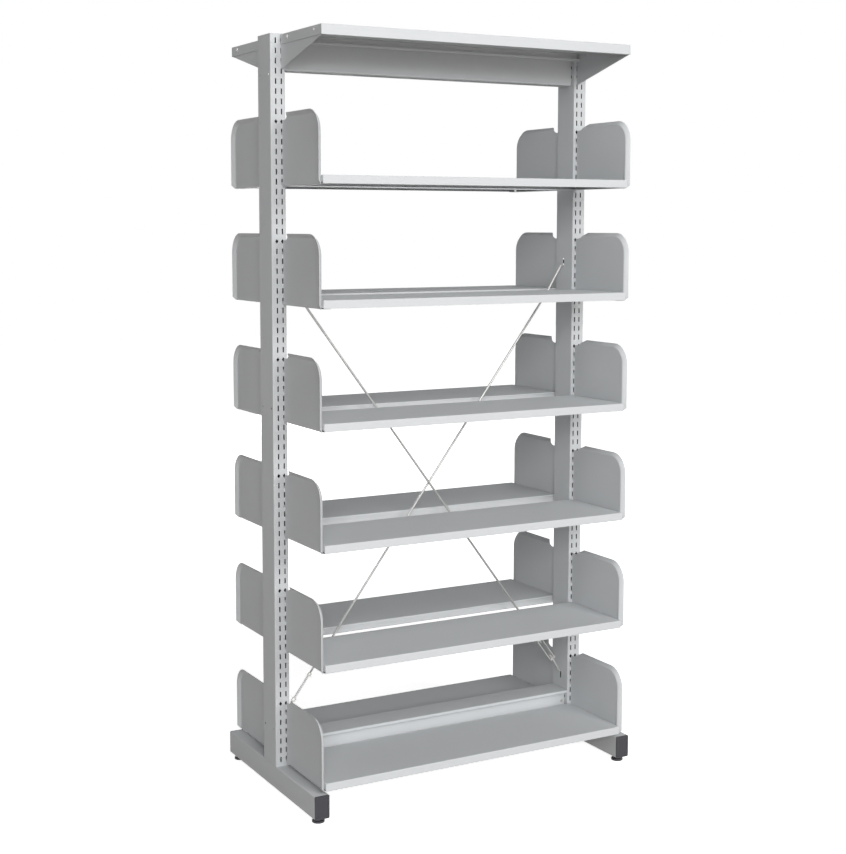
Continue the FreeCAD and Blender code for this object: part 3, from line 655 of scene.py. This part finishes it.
def makeScrewTree():
    # one screw on each point, its head facing the point's aim
    tree, start = newTree("screwSet", [("Screw", "Object"), ("Material", "Material")])
    screw = addNode(tree, "GeometryNodeObjectInfo", (-600, -200))
    aim = addNode(tree, "GeometryNodeInputNamedAttribute", (-800, 0), data_type="FLOAT_VECTOR")
    aim.inputs["Name"].default_value = "aim"
    turn = addNode(tree, "FunctionNodeAlignRotationToVector", (-400, 0), axis="Z")
    placed = addNode(tree, "GeometryNodeInstanceOnPoints", (200, 0))
    tree.links.new(start.outputs["Mesh"], placed.inputs["Points"])
    tree.links.new(start.outputs["Screw"], screw.inputs["Object"])
    tree.links.new(screw.outputs["Geometry"], placed.inputs["Instance"])
    tree.links.new(next(socket for socket in aim.outputs if socket.enabled), turn.inputs["Vector"])
    tree.links.new(turn.outputs["Rotation"], placed.inputs["Rotation"])
    endTree(tree, start, placed.outputs["Instances"])
    return tree


def lathe(profile, steps):
    # a closed turned shape from (radius, height) points whose ends lie on the axis
    built = bmesh.new()
    rings = []
    for radius, height in profile:
        if radius == 0:
            rings.append([built.verts.new((0, 0, height))])
            continue
        angles = [2 * math.pi * i / steps for i in range(steps)]
        corners = [(radius * math.cos(angle), radius * math.sin(angle), height) for angle in angles]
        rings.append([built.verts.new(corner) for corner in corners])
    for lower, upper in zip(rings, rings[1:]):
        for i in range(steps):
            j = (i + 1) % steps
            below = [lower[i % len(lower)], lower[j % len(lower)]]
            above = [upper[j % len(upper)], upper[i % len(upper)]]
            built.faces.new(list(dict.fromkeys(below + above)))
    bmesh.ops.recalc_face_normals(built, faces=built.faces)
    return built


def screwProfile():
    # from the tip's middle up the shank and over the head to its middle, as (radius, height)
    s = screwSettings
    tip = -s["shankLength"]
    profile = [
        (0, tip),
        (s["shankRadius"] * s["tipWidth"], tip),
        (s["shankRadius"], tip + s["shankRadius"] * s["tipBevel"]),
        (s["shankRadius"], 0),
        (s["headRadius"], 0),
    ]
    for i in range(s["headSteps"] + 1):
        angle = math.radians(90.0 / s["headSteps"] * i)
        radius = s["headRadius"] - s["headRound"] * (1 - math.cos(angle))
        profile.append((radius, s["headHeight"] - s["headRound"] * (1 - math.sin(angle))))
    profile.append((0, s["headHeight"]))
    return profile


def makeRecessKnife():
    # a tapered cross that cuts the recess out of the head
    s = screwSettings
    knife = bmesh.new()
    reach, half = s["recessReach"], s["recessWidth"] / 2
    top = s["headHeight"] + s["recessDepth"] * s["recessOver"]
    foot = s["headHeight"] - s["recessDepth"]
    taper = s["recessTaper"]
    outline = [(reach, -half), (reach, half), (half, half), (half, reach), (-half, reach), (-half, half)]
    outline = outline + [(-x, -y) for x, y in outline]
    low = [knife.verts.new((x * taper, y * taper, foot)) for x, y in outline]
    high = [knife.verts.new((x, y, top)) for x, y in outline]
    knife.faces.new(low)
    knife.faces.new(high)
    for i in range(len(outline)):
        j = (i + 1) % len(outline)
        knife.faces.new((low[i], low[j], high[j], high[i]))
    bmesh.ops.recalc_face_normals(knife, faces=knife.faces)
    return meshOf(knife, "recessKnife")


def makeScrewMesh():
    # pan head screw along +Z, the underside of its head at z = 0
    s = screwSettings
    screw = meshOf(lathe(screwProfile(), s["steps"]), "screw")
    knife = bpy.data.objects.new("recessKnife", makeRecessKnife())
    scene.collection.objects.link(knife)

    def addCut(holder):
        cut = holder.modifiers.new("recess", "BOOLEAN")
        cut.object = knife
        cut.operation = "DIFFERENCE"
        cut.solver = "EXACT"

    result = applied(screw, addCut)
    bpy.data.objects.remove(knife)
    smooth(result, s["sharpAngle"])
    return result


def screwSeats(name):
    # each screw of a node: the middle of its head's underside and the way its head faces
    built = mergedCopy(name)
    seats = []
    waiting = set(built.verts)
    while waiting:
        island = [waiting.pop()]
        for vertex in island:
            for edge in vertex.link_edges:
                other = edge.other_vert(vertex)
                if other in waiting:
                    waiting.remove(other)
                    island.append(other)
        low = Vector([min(v.co[i] for v in island) for i in range(3)])
        high = Vector([max(v.co[i] for v in island) for i in range(3)])
        size = high - low
        axis = 0 if size.x > size.y else 1
        middle = (low + high) / 2
        aim = Vector((0, 0, 0))
        aim[axis] = math.copysign(1.0, middle[axis])
        outer = high[axis] if aim[axis] > 0 else low[axis]
        seat = middle.copy()
        seat[axis] = outer - aim[axis] * screwSettings["headHeight"]
        seats.append((tuple(seat), tuple(aim)))
    built.free()
    return sorted(seats)


def addScrews(tree, screw, name):
    seats = screwSeats(name)
    points = bpy.data.meshes.new("screwPoints")
    points.from_pydata([seat for seat, aim in seats], [], [])
    aims = points.attributes.new("aim", "FLOAT_VECTOR", "POINT")
    for i, (seat, aim) in enumerate(seats):
        aims.data[i].vector = aim
    mesh = runTree(tree, points, {"Screw": screw, "Material": materials["zinc_steel"]})
    addPiece(name + "_finished", mesh, "frame", "zinc_steel", [name])


def shrinkToRoot(built, origin, axis, start, end, s):
    # the shaft between start and end along the axis gets the thread's root radius
    stops = (start, start + s["runOut"], end - s["runOut"], end)
    for stop in stops:
        everything = list(built.verts) + list(built.edges) + list(built.faces)
        place = origin + axis * stop
        near = threadSettings["cutTolerance"]
        bmesh.ops.bisect_plane(built, geom=everything, plane_co=place, plane_no=axis, dist=near)
    tolerance = threadSettings["alongTolerance"]
    for vertex in built.verts:
        along = (vertex.co - origin).dot(axis)
        if stops[1] - tolerance < along < stops[2] + tolerance:
            foot = origin + axis * along
            spoke = vertex.co - foot
            if spoke.length > s["rootRadius"]:
                vertex.co = foot + spoke.normalized() * s["rootRadius"]


def threadedMesh(name, tree, origin, axis, span, s):
    # a node's copy with a thread cut between the two places of span along the axis
    built = cleanCopy(name)
    low, high = span
    shrinkToRoot(built, origin, axis, low, high, s)
    mesh = meshOf(built, name)
    smooth(mesh, threadSettings["sharpAngle"])
    start = origin + axis * (low + s["runOut"])
    end = origin + axis * (high - s["runOut"])
    values = {
        "Crest Radius": s["crestRadius"],
        "Depth": (s["crestRadius"] - s["rootRadius"]) * threadSettings["ridgeShare"],
        "Pitch": s["pitch"],
        "Material": materials["zinc_steel"],
    }
    ridges = runTree(tree, lineMesh(start, end), values)
    joined = bmesh.new()
    joined.from_mesh(ridges)
    bmesh.ops.recalc_face_normals(joined, faces=joined.faces)
    for face in joined.faces:
        face.smooth = True
    joined.from_mesh(mesh)
    return meshOf(joined, name)


# outline is the cap's section from the panel round to its hollow plug, as (inset from the tube's outer
# size, depth behind the cap's outer face, corner radius)
capSettings = {
    "edge": 0.0002,
    "segments": 2,
    "sharpAngle": 30.0,
    "cornerSteps": 5,
    "outline": [
        (0.0053, 0.0009, 0.0012),
        (0.0045, 0.0, 0.0018),
        (0.0010, 0.0, 0.0022),
        (0.0, 0.0010, 0.0030),
        (0.0, 0.0040, 0.0030),
        (0.0023, 0.0040, 0.0010),
        (0.0023, 0.0170, 0.0010),
        (0.0048, 0.0170, 0.0006),
        (0.0048, 0.0040, 0.0006),
    ],
}


def roundedRing(built, middle, halfWidth, halfHeight, radius, y):
    # points round a rectangle with round corners, at one depth
    steps = capSettings["cornerSteps"]
    ring = []
    for quarter, (sx, sz) in enumerate(((1, 1), (-1, 1), (-1, -1), (1, -1))):
        for i in range(steps):
            angle = math.radians(90 * quarter + 90 * i / (steps - 1))
            x = middle.x + sx * (halfWidth - radius) + radius * math.cos(angle)
            z = middle.z + sz * (halfHeight - radius) + radius * math.sin(angle)
            ring.append(built.verts.new((x, y, z)))
    return ring


def makeCap(name, outward):
    # a rim round a panel set back in it, and a hollow plug in the tube
    s = capSettings
    low, high = (Vector(corner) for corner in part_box(name))
    middle = (low + high) / 2
    half = (high - low) / 2
    face = high.y if outward > 0 else low.y
    built = bmesh.new()
    rings = []
    for inset, depth, radius in s["outline"]:
        y = face - outward * depth
        rings.append(roundedRing(built, middle, half.x - inset, half.z - inset, radius, y))
    for near, far in zip(rings, rings[1:]):
        for i in range(len(near)):
            j = (i + 1) % len(near)
            built.faces.new((near[i], near[j], far[j], far[i]))
    built.faces.new(rings[0])
    built.faces.new(rings[-1])
    bmesh.ops.recalc_face_normals(built, faces=built.faces)
    mesh = roundEdges(meshOf(built, name), s)
    addPiece(name + "_finished", mesh, "frame", "black_plastic", [name])


def shadeInside(name, piece):
    # the faces behind an upright's wall get the painted shade, a near-black colour
    piece.data.materials.append(paintedInsideShade)
    low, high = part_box(name)
    depth = insideShadeSettings["depth"]
    for face in piece.data.polygons:
        inside = [low[i] + depth < face.center[i] < high[i] - depth for i in (0, 1, 2)]
        if all(inside):
            face.material_index = 1


scene.view_settings.view_transform = "Standard"
makeCamera()
makeWorld()
makeFloor()
makeLamps()
print("stage, lamps and camera made")

materials = {
    "painted_steel": makePaint(),
    "zinc_steel": makeZinc(),
    "black_plastic": makePlastic(),
}
paintedInsideShade = makeInsideShade()
for name, node in nodes.items():
    setMaterial(node, materialFor(name, materials))
print("materials assigned to", len(nodes), "nodes")

levelCount = 6
for name in ("left_upright", "right_upright"):
    shadeInside(name, finishNode(name, "frame", "painted_steel", sheetSettings))
tubesAndBeams = ["left_base_tube", "right_base_tube", "top_beam", "bottom_beam"]
canopies = ["front_canopy", "rear_canopy"]
gussets = [name for name in nodes if name.endswith("canopy_gusset")]
for name in tubesAndBeams + canopies + gussets:
    finishNode(name, "frame", "painted_steel", sheetSettings)
for side in ("front", "rear"):
    for level in range(1, levelCount + 1):
        body = "%s_level_%d" % (side, level)
        finishNode("%s_shelf_%d" % (side, level), body + "_tray", "painted_steel", sheetSettings)
        finishNode("%s_brackets_%d" % (side, level), body + "_brackets", "painted_steel", sheetSettings)
    finishNode(side + "_turnbuckle", side + "_turnbuckle_body", "zinc_steel", buckleSettings)
print("sheet metal finished")

for side, outward in (("front", -1), ("rear", 1)):
    for hand in ("left", "right"):
        corner = side + "_" + hand
        makeCap(corner + "_end_cap", outward)
        finishNode(corner + "_foot_pad", corner + "_pad", "black_plastic", padSettings)
print("caps and pads finished")

threadTree = makeThreadTree()
for side in ("front", "rear"):
    for hand in ("left", "right"):
        corner = side + "_" + hand
        name = corner + "_foot_stud"
        low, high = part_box(name)
        origin = Vector(((low[0] + high[0]) / 2, (low[1] + high[1]) / 2, 0))
        upwards = Vector((0, 0, 1))
        mesh = threadedMesh(name, threadTree, origin, upwards, studSettings["thread"], studSettings)
        addPiece(name + "_finished", mesh, corner + "_stud", "zinc_steel", [name])

joints = {joint["name"]: joint for joint in frame["record"]["behaviour"]["joints"]}
for side in ("front", "rear"):
    joint = joints[side + "_turnbuckle_turn"]
    axis = Vector(joint["axis"])
    origin = Vector(joint["pos_m"]) - axis * braceSettings["jointReach"]
    for part, span in (("hook", braceSettings["hookThread"]), ("rod", braceSettings["rodThread"])):
        name = "%s_brace_%s" % (side, part)
        mesh = threadedMesh(name, threadTree, origin, axis, span, braceSettings)
        addPiece(name + "_finished", mesh, "frame", "zinc_steel", [name])
print("threads made")

screw = bpy.data.objects.new("screw", makeScrewMesh())
screwTree = makeScrewTree()
for name in ("canopy_screws", "beam_lock_screws"):
    addScrews(screwTree, screw, name)
bpy.data.objects.remove(screw)
print("screws made")

weldTree = makeWeldTree()
for hand in ("left", "right"):
    low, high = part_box(hand + "_upright")
    for side, y in (("front", low[1]), ("rear", high[1])):
        start = (low[0] + weldSettings["inset"], y, low[2])
        end = (high[0] - weldSettings["inset"], y, low[2])
        addWeld(weldTree, "%s_%s_weld" % (hand, side), start, end)
print("weld beads made")
